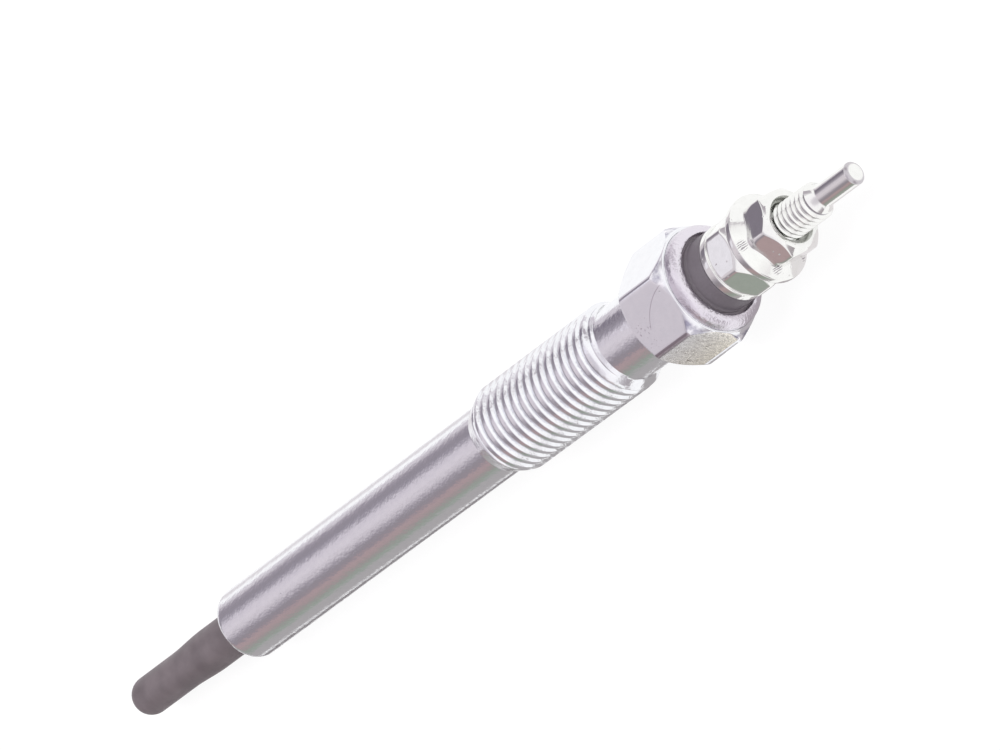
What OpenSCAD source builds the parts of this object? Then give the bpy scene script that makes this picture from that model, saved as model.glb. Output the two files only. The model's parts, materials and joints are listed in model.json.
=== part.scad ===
// Sheathed-element diesel glow plug, lying on a flat surface as it comes to rest.
// Every piece is drawn upright on the plug's own axis, heater tip at zero, and then laid down.

/* [Heater sheath] */
// Diameter of the hot end of the sheath
sheath_tip_d = 4.35; // [4.2:0.05:4.9]
// Diameter of the sheath where the body grips it
sheath_base_d = 4.85; // [4.6:0.05:5.4]
// Wall thickness of the sheath
sheath_wall = 0.6; // [0.4:0.05:0.7]
// Length of the hot end, from the tip to the taper
sheath_tip_len = 9.5; // [6:0.5:12]
// Length of the taper between the two diameters
sheath_taper_len = 4; // [1:0.2:6]
// Length of sheath that stands out of the body
sheath_reach = 20.3; // [18.5:0.1:28]
// Length of sheath inside the body
sheath_inset = 26; // [20:0.5:32]
// Length over which the body grips the sheath
press_len = 16; // [8:0.5:19]

/* [Body] */
// Diameter of the plain shank
shank_d = 8.1; // [7.4:0.1:8.8]
// Length of the plain shank, from the seat to the thread
shank_len = 46.8; // [36:0.2:60]
// Length of the conical seat at the end of the shank
seat_len = 0.9; // [0.4:0.1:1.6]
// Depth of the conical seat, measured on the radius
seat_depth = 0.8; // [0.3:0.05:0.9]
// Outside diameter of the body thread
thread_d = 10; // [9:0.1:11]
// Pitch of the body thread
thread_pitch = 1.25; // [1:0.05:1.5]
// Depth of the body thread, whose crests are left flat
thread_depth = 0.5; // [0.3:0.05:0.65]
// Length of the body thread with its run-outs
thread_len = 22.4; // [14:0.2:30]
// Length of the run-out at the shank end of the thread
thread_lead_in = 2.4; // [0.5:0.1:4]
// Length of the run-out at the neck end of the thread
thread_run_out = 1.2; // [0.5:0.1:3]
// Diameter of the neck under the hexagon
neck_d = 8.4; // [7.6:0.1:9]
// Length of the neck
neck_len = 6.7; // [3:0.1:10]

/* [Hexagon and collar] */
// Width of the hexagon across its flats, for a 12 mm spanner
hex_af = 11.8; // [11.6:0.1:14]
// Width of the hexagon across its rounded corners, as a share of the flats
hex_corner_ratio = 1.14; // [1.08:0.005:1.15]
// Length of the hexagon
hex_len = 7.2; // [6:0.1:10]
// Height of the chamfer on the corners at the thread end
hex_low_chamfer = 0.7; // [0.3:0.05:1.5]
// Height of the chamfer on the corners at the terminal end
hex_high_chamfer = 1.25; // [0.3:0.05:2]
// Outside diameter of the crimped collar
collar_d = 11.3; // [10.9:0.05:11.7]
// Height of the collar above the hexagon
collar_h = 1.5; // [1.2:0.05:2]
// Radius of the rolled shoulder of the collar
collar_round = 1; // [0.4:0.05:1.1]
// Diameter of the opening that the crimped lip leaves
lip_d = 9; // [8.6:0.05:9.1]
// Thickness of the crimped lip
lip_t = 0.7; // [0.4:0.05:0.9]

/* [Bores of the body] */
// Diameter of the bore round the terminal rod
rod_bore_d = 5.6; // [5.4:0.05:6]
// Length of the cone between the rod bore and the seal bore
seal_cone_len = 0.4; // [0.2:0.05:1]

/* [Insulating bush] */
// Diameter of the neck that stands out of the collar
bush_d = 8.2; // [7.4:0.05:8.4]
// Height of the neck above the collar
bush_rise = 2.2; // [1:0.1:4]
// Diameter of the flange held under the lip
bush_flange_d = 9.6; // [9.3:0.05:9.8]
// Thickness of the flange
bush_flange_t = 1.8; // [1:0.1:2.6]
// Diameter of the sleeve inside the body
bush_sleeve_d = 6.6; // [6.2:0.05:7.4]
// Length of the sleeve below the flange
bush_sleeve_len = 3.2; // [1.5:0.1:4]
// Chamfer at the top edge of the neck
bush_chamfer = 0.3; // [0.1:0.05:0.5]

/* [Terminal rod] */
// Diameter of the rod inside the body
rod_d = 3.5; // [3:0.05:3.8]
// Diameter of the tail inside the sheath
tail_d = 1.9; // [1.6:0.05:2]
// Length of the control coil that is wound on the tail
tail_overlap = 2.4; // [1:0.1:4]
// Outside diameter of the stud thread
stud_d = 4; // [3.9:0.05:4.4]
// Pitch of the stud thread
stud_pitch = 0.7; // [0.5:0.05:0.8]
// Length of thread below the top of the bush
stud_sink = 6; // [3:0.1:7]
// Length of thread above the terminal nut
stud_free = 4.7; // [2:0.1:8]
// Diameter of the pilot pin at the end of the stud
pilot_d = 2.5; // [2:0.05:3]
// Length of the cone between stud and pilot pin
pilot_cone_len = 0.6; // [0.3:0.05:1.2]
// Length of the pilot pin
pilot_len = 5; // [2:0.1:8]
// Chamfer at the end of the pilot pin
pilot_chamfer = 0.25; // [0.1:0.05:0.5]

/* [Clamp nut] */
// Width of the clamp nut across its flats
clamp_af = 7.8; // [7.6:0.1:9]
// Height of the clamp nut with its washer face
clamp_h = 4.7; // [3.5:0.1:6]
// Diameter of the round washer face
clamp_washer_d = 8.2; // [7:0.05:8.6]
// Height of the round washer face
clamp_washer_h = 0.95; // [0.3:0.05:1.2]
// Diameter of the flat top of the clamp nut
clamp_top_d = 7.2; // [6:0.1:7.5]
// Height of the chamfer on the corners over the washer face
clamp_low_chamfer = 0.6; // [0.2:0.05:1]
// Height of the chamfer on the corners at the top
clamp_high_chamfer = 1; // [0.3:0.05:1.2]
// Turn of the clamp nut on its thread, in degrees
clamp_turn = 13; // [0:1:59]

/* [Terminal nut] */
// Width of the terminal nut across its flats
terminal_af = 6.8; // [6.6:0.1:7.6]
// Height of the terminal nut with its flange
terminal_h = 5.1; // [4:0.1:7]
// Diameter of the flange
flange_d = 9.5; // [9:0.05:11]
// Diameter of the bearing face under the flange
flange_bearing_d = 8.6; // [7.8:0.05:8.7]
// Height of the bevel under the flange
flange_bevel_h = 0.45; // [0.1:0.05:0.8]
// Thickness of the rim of the flange
flange_rim_t = 0.7; // [0.3:0.05:1]
// Height of the cone on top of the flange
flange_cone_h = 0.95; // [0.4:0.05:1.2]
// Diameter of the flat top of the terminal nut
terminal_top_d = 6.3; // [5.2:0.1:6.5]
// Height of the chamfer on the corners at the top of the terminal nut
terminal_chamfer = 0.7; // [0.3:0.05:1]
// Turn of the terminal nut on its thread, in degrees
terminal_turn = 55; // [0:1:59]

/* [Nut details] */
// Width of both nuts across their rounded corners, as a share of the flats
nut_corner_ratio = 1.13; // [1.06:0.01:1.15]
// Depth of the countersink at the ends of both nuts' threads
nut_countersink = 0.45; // [0.1:0.05:0.5]

/* [Coils] */
// Diameter of the heating coil's wire
heating_wire_d = 0.36; // [0.25:0.01:0.4]
// Number of turns of the heating coil
heating_turns = 9; // [5:1:11]
// Length of the wound part of the heating coil
heating_len = 6.6; // [5.5:0.1:8]
// Diameter of the control coil's wire
control_wire_d = 0.3; // [0.2:0.01:0.36]
// Number of turns of the control coil
control_turns = 14; // [8:1:18]
// Length of the wound part of the control coil
control_len = 10.5; // [8:0.1:12]

/* [Seals] */
// Length of the elastomer seal in the mouth of the sheath
sheath_seal_len = 2.5; // [1:0.1:5]
// Gap between the mouth of the sheath and the shoulder of the rod
mouth_gap = 0.5; // [0.2:0.1:2]

/* [Fits] */
// Radial clearance of the pressed sheath
press_clearance = 0; // [0:0.005:0.02]
// Radial clearance drawn between plain thread cylinders
thread_clearance = 0.02; // [0.01:0.01:0.1]
// Radial clearance of the bush in the body and on the stud
bush_clearance = 0.05; // [0.02:0.01:0.15]
// Clearance between the tail and the coil wound on it
coil_clearance = 0.05; // [0.04:0.01:0.1]

/* [Hidden] */
$fn = 96;
eps = 0.01;

// Radii used by more than one piece
sheath_tip_r = sheath_tip_d / 2;
sheath_base_r = sheath_base_d / 2;
shank_r = shank_d / 2;
thread_r = thread_d / 2;
neck_r = neck_d / 2;
hex_r = hex_af / 2;
hex_corner_r = hex_r * hex_corner_ratio;
collar_r = collar_d / 2;
rod_r = rod_d / 2;
tail_r = tail_d / 2;
stud_r = stud_d / 2;
pilot_r = pilot_d / 2;
nut_bore_r = stud_r + thread_clearance;

// Heights along the plug, from the heater tip
taper_z = sheath_tip_len;
base_z = taper_z + sheath_taper_len;
body_z = sheath_reach;
shank_z = body_z + seat_len;
thread_z = shank_z + shank_len;
neck_z = thread_z + thread_len;
hex_z = neck_z + neck_len;
hex_top_z = hex_z + hex_len;
collar_top_z = hex_top_z + collar_h;
lip_z = collar_top_z - lip_t;
bush_top_z = collar_top_z + bush_rise;
flange_seat_z = lip_z - bush_flange_t;
sleeve_z = flange_seat_z - bush_sleeve_len;
mouth_z = body_z + sheath_inset;
seal_z = mouth_z - sheath_seal_len;
rod_z = mouth_z + mouth_gap;
stud_z = bush_top_z - stud_sink;
clamp_top_z = bush_top_z + clamp_h;
terminal_top_z = clamp_top_z + terminal_h;
stud_top_z = terminal_top_z + stud_free;
pilot_z = stud_top_z + pilot_cone_len;
end_z = pilot_z + pilot_len;

// The sealing ring just fills the space between the rod and the bore it shares with the bush
seal_bore_r = bush_sleeve_d / 2 + bush_clearance;
ring_section_r = (seal_bore_r - rod_r) / 2;
ring_z = sleeve_z - ring_section_r;
ring_seat_z = ring_z - ring_section_r;

// The coils share one winding radius, given by the tail that the control coil is wound on
coil_r = tail_r + coil_clearance + heating_wire_d / 2;
weld_z = sheath_wall + heating_wire_d / 2;
heating_z = sheath_tip_r + heating_wire_d;
control_z = heating_z + heating_len;
control_top_z = control_z + control_len;
tail_z = control_top_z - tail_overlap;
steps_per_turn = 14;
wire_sides = 6;

// Lying down, the plug rests on the end of its shank and on whatever stands out most beyond it
supports = [
    [neck_z - thread_run_out, thread_r],
    [hex_z, hex_r],
    [clamp_top_z + flange_bevel_h + flange_rim_t, flange_d / 2]
];
rest_tilt = atan(max([for (s = supports) (s[1] - shank_r) / (s[0] - shank_z)]));
axis_height = shank_r * cos(rest_tilt) - shank_z * sin(rest_tilt);
low_x = sheath_tip_r * cos(rest_tilt) - sheath_tip_r;
high_x = end_z * cos(rest_tilt) + (pilot_r - pilot_chamfer) * sin(rest_tilt);

// Puts upright geometry where the plug lies, over the middle of its own length
module lie_down() {
    translate([-(low_x + high_x) / 2, 0, axis_height])
        rotate([0, 90 - rest_tilt, 0])
            children();
}

// Hexagonal bar with a flat facing down when it lies, turned to cones at both ends
module turned_hexagon(across_flats, corner_r, length, low_r, low_h, high_r, high_h) {
    intersection() {
        rotate([0, 0, 30])
            cylinder(r = across_flats / 2 / cos(30), h = length, $fn = 6);
        rotate_extrude()
            polygon([
                [0, 0], [low_r, 0], [corner_r, low_h],
                [corner_r, length - high_h], [high_r, length], [0, length]
            ]);
    }
}

// Half outline of the sheath, or of the space inside it when inset is its wall
module sheath_outline(inset, top_z) {
    intersection() {
        union() {
            translate([0, sheath_tip_r])
                circle(r = sheath_tip_r - inset);
            polygon([
                [0, sheath_tip_r], [sheath_tip_r - inset, sheath_tip_r], [sheath_tip_r - inset, taper_z],
                [sheath_base_r - inset, base_z], [sheath_base_r - inset, top_z], [0, top_z]
            ]);
        }
        square([sheath_base_d, top_z]);
    }
}

// Points along an even winding from height low_z, with one point past its end and some before its start
function winding(turns, length, low_z, before) =
    [for (i = [-before : turns * steps_per_turn + 1])
        let (turn = i / steps_per_turn)
        [coil_r * cos(360 * turn), coil_r * sin(360 * turn), low_z + length * turn / turns]];

// Ring of a round wire at one point, square to the direction that the wire runs in there
function wire_ring(point, along, wire_r) =
    let (dir = along / norm(along))
    let (side = cross(dir, [0, 0, 1]) / norm(cross(dir, [0, 0, 1])))
    let (up = cross(side, dir))
    [for (k = [0 : wire_sides - 1])
        point + wire_r * (cos(360 * k / wire_sides) * side + sin(360 * k / wire_sides) * up)];

// Wire swept through a list of points as one closed skin. The first and last points only guide its ends.
module swept_wire(points, wire_r) {
    last = len(points) - 3;
    rings = [for (i = [0 : last]) wire_ring(points[i + 1], points[i + 2] - points[i], wire_r)];
    sides = [for (i = [0 : last - 1]) for (k = [0 : wire_sides - 1])
        let (a = i * wire_sides + k)
        let (b = i * wire_sides + (k + 1) % wire_sides)
        [a, a + wire_sides, b + wire_sides, b]];
    start = [[for (k = [0 : wire_sides - 1]) k]];
    finish = [[for (k = [wire_sides - 1 : -1 : 0]) last * wire_sides + k]];
    polyhedron([for (ring = rings) each ring], concat(sides, start, finish), convexity = 10);
}

// Space that the coils are wound in, with the slanting hole for the lead to the weld
module winding_space() {
    outer_r = coil_r + heating_wire_d / 2 + coil_clearance;
    low_z = heating_z - heating_wire_d;
    high_z = control_top_z + heating_wire_d;
    lead_rise = heating_z - weld_z;
    rotate_extrude()
        translate([tail_r, low_z])
            square([outer_r - tail_r, high_z - low_z]);
    translate([0, 0, weld_z])
        rotate([0, atan(coil_r / lead_rise), 0])
            cylinder(r = heating_wire_d / 2 + coil_clearance, h = norm([coil_r, lead_rise]));
}

// Section of a thread's sixty-degree grooves at the given heights.
// They are drawn as rings: the slope of the helix is left out.
module thread_grooves(heights, crest_r, pitch, depth) {
    root_w = pitch / 8;
    mouth_w = root_w + 2 * (depth + eps) * tan(30);
    for (z = heights)
        translate([crest_r, z])
            polygon([
                [-depth, -root_w / 2], [eps, -mouth_w / 2], [eps, mouth_w / 2], [-depth, root_w / 2]
            ]);
}

// Outside of the body below and above the hexagon, turned in one profile.
// The grooves of its thread are spaced from a crest at the middle.
module body_turning() {
    middle_z = (thread_z + thread_lead_in + neck_z - thread_run_out) / 2;
    above = [middle_z + thread_pitch / 2 : thread_pitch : neck_z - thread_run_out / 2];
    below = [middle_z - thread_pitch / 2 : -thread_pitch : thread_z + thread_lead_in / 3];
    rotate_extrude()
        difference() {
            union() {
                polygon([
                    [0, body_z], [shank_r - seat_depth, body_z], [shank_r, shank_z], [shank_r, thread_z],
                    [thread_r, thread_z + thread_lead_in], [thread_r, neck_z - thread_run_out],
                    [neck_r, neck_z], [neck_r, hex_z], [collar_r, hex_z],
                    [collar_r, collar_top_z - collar_round], [collar_r - collar_round, collar_top_z],
                    [0, collar_top_z]
                ]);
                translate([collar_r - collar_round, collar_top_z - collar_round])
                    circle(r = collar_round);
            }
            thread_grooves([each above, each below], thread_r, thread_pitch, thread_depth);
        }
}

// Stepped hole through the body: grip on the sheath, rod bore, seal bore, flange recess and lip
module body_bores() {
    grip_r = sheath_base_r + press_clearance;
    rod_bore_r = rod_bore_d / 2;
    recess_r = bush_flange_d / 2 + bush_clearance;
    rotate_extrude()
        polygon([
            [0, body_z - eps], [grip_r, body_z - eps], [grip_r, body_z + press_len],
            [rod_bore_r, body_z + press_len], [rod_bore_r, ring_seat_z - seal_cone_len],
            [seal_bore_r, ring_seat_z], [seal_bore_r, flange_seat_z], [recess_r, flange_seat_z],
            [recess_r, lip_z], [lip_d / 2, lip_z], [lip_d / 2, collar_top_z + eps], [0, collar_top_z + eps]
        ]);
}

// Threaded hole of a nut, with a countersink at both ends
module nut_hole(height) {
    rotate_extrude()
        polygon([
            [0, -eps], [nut_bore_r + nut_countersink, -eps], [nut_bore_r, nut_countersink],
            [nut_bore_r, height - nut_countersink], [nut_bore_r + nut_countersink, height + eps],
            [0, height + eps]
        ]);
}

module housing() {
    color("lightsteelblue")
        lie_down()
            difference() {
                union() {
                    body_turning();
                    translate([0, 0, hex_z])
                        turned_hexagon(hex_af, hex_corner_r, hex_len, hex_r, hex_low_chamfer,
                            hex_r, hex_high_chamfer);
                }
                body_bores();
            }
}

module heater_sheath() {
    color("dimgray")
        lie_down()
            rotate_extrude()
                difference() {
                    sheath_outline(0, mouth_z);
                    sheath_outline(sheath_wall, mouth_z + eps);
                }
}

module heating_coil() {
    coil = winding(heating_turns, heating_len, heating_z, 0);
    weld = [0, 0, weld_z];
    lead = [2 * weld - coil[0], weld];
    color("sienna")
        lie_down()
            swept_wire(concat(lead, coil), heating_wire_d / 2);
}

module control_coil() {
    color("goldenrod")
        lie_down()
            swept_wire(winding(control_turns, control_len, control_z, 1), control_wire_d / 2);
}

module magnesia_filling() {
    color("whitesmoke")
        lie_down()
            difference() {
                rotate_extrude()
                    sheath_outline(sheath_wall, seal_z);
                winding_space();
                translate([0, 0, tail_z])
                    cylinder(r = tail_r, h = mouth_z - tail_z);
            }
}

module sheath_seal() {
    color("firebrick")
        lie_down()
            translate([0, 0, seal_z])
                difference() {
                    cylinder(r = sheath_base_r - sheath_wall, h = sheath_seal_len);
                    translate([0, 0, -eps])
                        cylinder(r = tail_r, h = sheath_seal_len + 2 * eps);
                }
}

module terminal_rod() {
    grooves = [stud_top_z - stud_pitch : -stud_pitch : stud_z + stud_r - rod_r + stud_pitch];
    color("silver")
        lie_down()
            rotate_extrude()
                difference() {
                    polygon([
                        [0, tail_z], [tail_r, tail_z], [tail_r, rod_z], [rod_r, rod_z],
                        [rod_r, stud_z], [stud_r, stud_z + stud_r - rod_r], [stud_r, stud_top_z],
                        [pilot_r, pilot_z], [pilot_r, end_z - pilot_chamfer],
                        [pilot_r - pilot_chamfer, end_z], [0, end_z]
                    ]);
                    thread_grooves(grooves, stud_r, stud_pitch, 0.6 * stud_pitch);
                }
}

module body_seal_ring() {
    color("black")
        lie_down()
            translate([0, 0, ring_z])
                rotate_extrude()
                    translate([rod_r + ring_section_r, 0])
                        circle(r = ring_section_r);
}

module insulating_bush() {
    neck_top_r = bush_d / 2 - bush_chamfer;
    hole_r = stud_r + bush_clearance;
    color("#38343a")
        lie_down()
            rotate_extrude()
                polygon([
                    [hole_r, sleeve_z], [bush_sleeve_d / 2, sleeve_z], [bush_sleeve_d / 2, flange_seat_z],
                    [bush_flange_d / 2, flange_seat_z], [bush_flange_d / 2, lip_z], [bush_d / 2, lip_z],
                    [bush_d / 2, bush_top_z - bush_chamfer], [neck_top_r, bush_top_z], [hole_r, bush_top_z]
                ]);
}

module clamp_nut() {
    hex_h = clamp_h - clamp_washer_h;
    corner_r = clamp_af / 2 * nut_corner_ratio;
    color("lightgray")
        lie_down()
            translate([0, 0, bush_top_z])
                difference() {
                    rotate([0, 0, clamp_turn - 30])
                        union() {
                            cylinder(d = clamp_washer_d, h = clamp_washer_h);
                            translate([0, 0, clamp_washer_h])
                                turned_hexagon(clamp_af, corner_r, hex_h, clamp_af / 2, clamp_low_chamfer,
                                    clamp_top_d / 2, clamp_high_chamfer);
                        }
                    nut_hole(clamp_h);
                }
}

module terminal_nut() {
    flange_r = flange_d / 2;
    rim_top_z = flange_bevel_h + flange_rim_t;
    cone_top_z = rim_top_z + flange_cone_h;
    corner_r = terminal_af / 2 * nut_corner_ratio;
    color("gainsboro")
        lie_down()
            translate([0, 0, clamp_top_z])
                difference() {
                    rotate([0, 0, terminal_turn - 30])
                        union() {
                            rotate_extrude()
                                polygon([
                                    [0, 0], [flange_bearing_d / 2, 0], [flange_r, flange_bevel_h],
                                    [flange_r, rim_top_z], [terminal_af / 2, cone_top_z], [0, cone_top_z]
                                ]);
                            translate([0, 0, rim_top_z])
                                turned_hexagon(terminal_af, corner_r, terminal_h - rim_top_z, corner_r, 0,
                                    terminal_top_d / 2, terminal_chamfer);
                        }
                    nut_hole(terminal_h);
                }
}

housing();
heater_sheath();
heating_coil();
control_coil();
magnesia_filling();
sheath_seal();
terminal_rod();
body_seal_ring();
insulating_bush();
clamp_nut();
terminal_nut();
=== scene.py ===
# %% [markdown]
# # A diesel glow plug, dressed for its portrait
# A sheathed heating element is pressed into a turned steel body, and a stud with two nuts stands out of
# its other end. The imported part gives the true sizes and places. This lesson models the six visible pieces
# again, with finer edges, real screw threads and finishes, and keeps the inner ones as they are.

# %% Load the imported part
import json
import math

import bpy
import numpy as np
from mathutils import Matrix, Vector

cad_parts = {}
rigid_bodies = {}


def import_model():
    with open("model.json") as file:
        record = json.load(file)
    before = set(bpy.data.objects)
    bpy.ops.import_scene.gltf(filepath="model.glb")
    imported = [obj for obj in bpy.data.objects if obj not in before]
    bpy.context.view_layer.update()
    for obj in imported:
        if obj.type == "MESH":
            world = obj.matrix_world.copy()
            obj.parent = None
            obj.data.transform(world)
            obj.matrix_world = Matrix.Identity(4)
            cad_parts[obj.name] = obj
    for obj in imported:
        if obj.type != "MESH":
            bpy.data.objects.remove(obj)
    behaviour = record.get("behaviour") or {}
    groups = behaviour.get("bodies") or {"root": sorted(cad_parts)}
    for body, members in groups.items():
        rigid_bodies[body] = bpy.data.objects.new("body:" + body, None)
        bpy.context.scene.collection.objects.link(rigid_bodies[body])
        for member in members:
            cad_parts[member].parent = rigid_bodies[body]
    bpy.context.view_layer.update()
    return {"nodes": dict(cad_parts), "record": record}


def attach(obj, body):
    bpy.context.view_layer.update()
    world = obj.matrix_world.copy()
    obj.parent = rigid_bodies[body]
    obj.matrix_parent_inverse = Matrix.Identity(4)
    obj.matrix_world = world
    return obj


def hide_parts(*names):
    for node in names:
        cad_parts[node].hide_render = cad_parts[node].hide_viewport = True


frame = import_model()
MM = 0.001
print("CAD nodes:", sorted(frame["nodes"]))

# %% [markdown]
# ## Where the plug lies
# The plug rests on the end of its shank and on one flat of its hexagon, so its axis is tilted a little.
# Two mounts in the record give a point on the axis and its direction. Everything below is measured in
# millimetres from the heater's tip, so only the tip and the tilt are needed to place it.

# %% Axis, tip and tilt
mounts = {mount["name"]: mount for mount in frame["record"]["mounts"]}
thread_start = 68.0
thread_end = 90.4
thread_lead_in = 2.4
thread_run_out = 1.2
thread_middle = (thread_start + thread_lead_in + thread_end - thread_run_out) / 2

axis = Vector(mounts["pilot_pin"]["axis"])
tilt = math.atan2(axis.z, axis.x)
plug_up = Vector((-axis.z, 0, axis.x))
plug_side = axis.cross(plug_up)
tip = Vector(mounts["body_thread"]["pos_m"]) - axis * thread_middle * MM
print(f"tilt {math.degrees(tilt):.3f} degrees, tip at {[round(c / MM, 3) for c in tip]} mm")

# %% [markdown]
# ## The camera
# The picture was taken with a long lens from the terminal's side, half way between along the plug and
# square to it, and then turned so that the plug runs up to the right. So the camera is built from those
# angles: a direction back to the lens, the plug's own direction in the picture, and a turn.

# %% Camera
lens_mm = 288.0
sensor_mm = 36.0
camera_distance = 808.08
angle_off_axis = math.radians(45.5)
angle_to_side = math.radians(3.8)
turn_in_picture = math.radians(36.95)
aimed_station = 76.87
aim_right = 5.126
aim_down = 2.359

towards_side = math.cos(angle_to_side) * plug_up + math.sin(angle_to_side) * plug_side
back = (math.cos(angle_off_axis) * axis + math.sin(angle_off_axis) * towards_side).normalized()
plug_seen = (axis - axis.dot(back) * back).normalized()
across_seen = back.cross(plug_seen)
right = math.cos(turn_in_picture) * plug_seen - math.sin(turn_in_picture) * across_seen
up = math.sin(turn_in_picture) * plug_seen + math.cos(turn_in_picture) * across_seen
aimed_point = tip + axis * aimed_station * MM
lens_point = aimed_point + (aim_down * up - aim_right * right + camera_distance * back) * MM

bpy.ops.object.camera_add()
camera = bpy.context.object
camera.name = "portrait_camera"
camera.matrix_world = Matrix.Translation(lens_point) @ Matrix((right, up, back)).transposed().to_4x4()
camera.data.lens = lens_mm
camera.data.sensor_width = sensor_mm
camera.data.clip_end = 100
bpy.context.scene.camera = camera
print(f"camera {lens_point.z:.3f} m above the floor, {lens_mm:.0f} mm lens")

# %% [markdown]
# ## Colours and nodes
# Colours are written as the eye reads them, in sRGB hex, and one function makes them linear. Another adds
# a node, gives it its settings, and links or sets its sockets. The rest say what several steps need: the
# stops of a ramp, a mask between two values, and the rays that look straight at something.

# %% Colour and node helpers
def linear(hex_colour):
    """Turns an sRGB colour such as #d5cbd3 into linear light, with an alpha of 1."""
    channels = [int(hex_colour[i:i + 2], 16) / 255 for i in (1, 3, 5)]
    return [c / 12.92 if c <= 0.04045 else ((c + 0.055) / 1.055) ** 2.4 for c in channels] + [1.0]


def add_node(tree, kind, settings, sockets):
    """Adds a node with its settings. A socket is linked if its value is an output, and set otherwise."""
    node = tree.nodes.new(kind)
    for name, value in settings.items():
        setattr(node, name, value)
    for socket, value in sockets.items():
        if isinstance(value, bpy.types.NodeSocket):
            tree.links.new(value, node.inputs[socket])
        else:
            node.inputs[socket].default_value = value
    return node


def set_stops(ramp, stops):
    """Gives a colour ramp its stops, as pairs of place and hex colour."""
    elements = ramp.color_ramp.elements
    while len(elements) > 1:
        elements.remove(elements[-1])
    elements[0].position, elements[0].color = stops[0][0], linear(stops[0][1])
    for place, colour in stops[1:]:
        elements.new(place).color = linear(colour)


def straight_look(tree):
    """A Light Path node, and a one for rays that come from the camera or through clear things."""
    path = add_node(tree, "ShaderNodeLightPath", {}, {})
    look = add_node(tree, "ShaderNodeMath", {"operation": "MAXIMUM"}, {
        0: path.outputs["Is Camera Ray"], 1: path.outputs["Is Transmission Ray"],
    })
    return path, look.outputs[0]


def within(tree, value, low, high, ease):
    """One where a value lies between two others, easing off outside them."""
    rise = add_node(tree, "ShaderNodeMapRange", {"interpolation_type": "SMOOTHSTEP"}, {
        "Value": value, "From Min": low - ease, "From Max": low,
    })
    fall = add_node(tree, "ShaderNodeMapRange", {"interpolation_type": "SMOOTHSTEP"}, {
        "Value": value, "From Min": high, "From Max": high + ease, "To Min": 1, "To Max": 0,
    })
    return both(tree, rise.outputs[0], fall.outputs[0])


def both(tree, a, b):
    """Where two masks overlap."""
    return add_node(tree, "ShaderNodeMath", {"operation": "MULTIPLY"}, {0: a, 1: b}).outputs[0]


# %% [markdown]
# ## A light tent
# Bright zinc shows what stands round it. The plug lay on a white sheet under a tent with pale and darker
# panels, which run along it as bands. The world is that tent: its colour depends on the angle round the
# plug's axis. Towards the terminal's side it turns white, with two low grey panels that give the plug its
# bands when it is seen from its tip. The camera and clear things see plain white.

# %% World
scene = bpy.context.scene
scene.view_settings.view_transform = "Standard"
# angle round the axis in degrees, from straight up towards the near side
tent_panels = [
    (-90, "#b2abb3"), (-80, "#a199a3"), (-70, "#979099"), (-56, "#98919b"), (-48, "#aaa3ad"),
    (-38, "#d4ccd5"), (-16, "#ddd5dc"), (0, "#d0c8cf"), (13, "#a9a1aa"), (22, "#979097"),
    (35, "#988e95"), (46, "#b29c9e"), (57, "#a99899"), (67, "#9e9997"), (78, "#9aa399"), (90, "#a4a6a2"),
]
# height of the ray over the plug's axis, on the side of the terminal
terminal_side = [(0.0, "#efecee"), (0.3, "#ffffff"), (0.8, "#f6f3f7"), (0.94, "#d6d1d8"), (1.0, "#cec9d0")]
# angle round the axis again, and how far along the axis a ray runs that meets the low panels
low_panels = [
    (-90, "#b4aeb5"), (-74, "#bdb7be"), (-60, "#ffffff"), (58, "#ffffff"), (72, "#b4aeb3"), (90, "#aaa5a8"),
]
low_from, low_to, low_ease = 0.08, 0.69, 0.07
white_from, white_to = -0.55, -0.05
open_glow = 0.1


def by_angle(stops):
    """Stops of a ramp that runs from -90 to 90 degrees, from pairs of angle and hex colour."""
    return [((degrees + 90) / 180, colour) for degrees, colour in stops]


world = bpy.data.worlds.new("light_tent")
scene.world = world
world.use_nodes = True
tree = world.node_tree
tree.nodes.clear()
ray = add_node(tree, "ShaderNodeTexCoord", {}, {}).outputs["Generated"]
along, over, aside = (
    add_node(tree, "ShaderNodeVectorMath", {"operation": "DOT_PRODUCT"}, {0: ray, 1: way}).outputs["Value"]
    for way in (axis, plug_up, plug_side)
)
angle = add_node(tree, "ShaderNodeMath", {"operation": "ARCTAN2"}, {0: aside, 1: over})
share = add_node(tree, "ShaderNodeMapRange", {}, {
    "Value": angle.outputs[0], "From Min": math.radians(-90), "From Max": math.radians(90),
})
panels = add_node(tree, "ShaderNodeValToRGB", {}, {"Fac": share.outputs[0]})
set_stops(panels, by_angle(tent_panels))
towards_terminal = add_node(tree, "ShaderNodeMapRange", {"interpolation_type": "SMOOTHSTEP"}, {
    "Value": along, "From Min": white_from, "From Max": white_to,
})
open_side = add_node(tree, "ShaderNodeValToRGB", {}, {"Fac": over})
set_stops(open_side, terminal_side)
low_side = add_node(tree, "ShaderNodeValToRGB", {}, {"Fac": share.outputs[0]})
set_stops(low_side, by_angle(low_panels))
open_tent = add_node(tree, "ShaderNodeMix", {"data_type": "RGBA", "blend_type": "MULTIPLY"}, {
    "Factor": within(tree, along, low_from, low_to, low_ease),
    6: open_side.outputs["Color"], 7: low_side.outputs["Color"],
})
tent = add_node(tree, "ShaderNodeMix", {"data_type": "RGBA"}, {
    "Factor": towards_terminal.outputs[0], 6: panels.outputs["Color"], 7: open_tent.outputs[2],
})
seen = add_node(tree, "ShaderNodeMix", {"data_type": "RGBA"}, {
    "Factor": straight_look(tree)[1], 6: tent.outputs[2], 7: (1, 1, 1, 1),
})
strength = add_node(tree, "ShaderNodeMath", {"operation": "MULTIPLY_ADD"}, {
    0: towards_terminal.outputs[0], 1: open_glow, 2: 1.0,
})
sky = add_node(tree, "ShaderNodeBackground", {}, {
    "Color": seen.outputs[2], "Strength": strength.outputs[0],
})
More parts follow.
